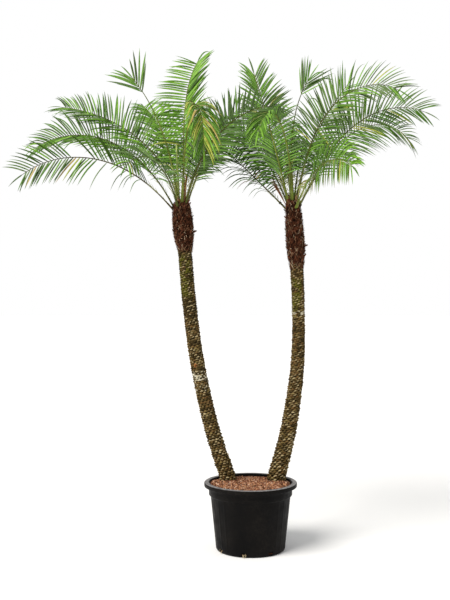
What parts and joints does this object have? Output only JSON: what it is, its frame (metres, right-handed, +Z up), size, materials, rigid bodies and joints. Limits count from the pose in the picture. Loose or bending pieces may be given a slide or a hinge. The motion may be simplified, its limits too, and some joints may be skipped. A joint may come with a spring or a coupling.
{
  "type": "potted pygmy date palm",
  "caption": "Pygmy date palm clump: slender leaning trunks with knobbly bark and fibrous tops, each with a spray of arching feather fronds, in a round ribbed nursery pot.",
  "frame": {"origin": "centre of the pot's flat underside", "axes": "+Z up the plant, -Y towards the side it is seen from, +X to the right from there, through the two trunks"},
  "size_m": [2.1439, 1.4976, 2.4832],
  "materials": {
    "pot": "matte black blow-moulded nursery plastic, dusty and faded on the rim's top edge",
    "soil": "loose reddish bark and coir mulch over potting mix",
    "trunk": "knobbly olive-brown bark of old leaf bases",
    "fibre": "dry dark reddish-brown fibre and sheath",
    "leaf_green": "satin leaflets, greyer underneath",
    "leaf_yellow_green": "satin leaflets that turn yellow-green",
    "spear": "pale unopened leaf, satin"
  },
  "bodies": {
    "root": {"pot": "pot", "soil": "soil", "left_trunk": "trunk", "right_trunk": "trunk", "left_head": "fibre", "right_head": "fibre", "left_frond_01": "leaf_green", "left_frond_02": "leaf_green", "left_frond_03": "leaf_green", "left_frond_04": "leaf_green", "left_frond_05": "leaf_green", "left_frond_06": "leaf_green", "left_frond_07_stalk": "leaf_yellow_green", "left_frond_07_tip": "leaf_yellow_green", "left_frond_08": "leaf_green", "left_frond_09": "leaf_yellow_green", "left_frond_10": "leaf_green", "left_frond_11": "leaf_green", "left_frond_12": "leaf_green", "left_spear": "spear", "right_frond_01": "leaf_green", "right_frond_02": "leaf_green", "right_frond_03": "leaf_green", "right_frond_04": "leaf_green", "right_frond_05": "leaf_yellow_green", "right_frond_06": "leaf_green", "right_frond_07": "leaf_green", "right_frond_08": "leaf_green", "right_frond_09_stalk": "leaf_green", "right_frond_09_tip": "leaf_green", "right_frond_10": "leaf_green", "right_frond_11": "leaf_green", "right_frond_12": "leaf_green", "right_frond_13": "leaf_green", "right_spear": "spear", "right_dry_sheath": "fibre"}
  },
  "joints": []
}
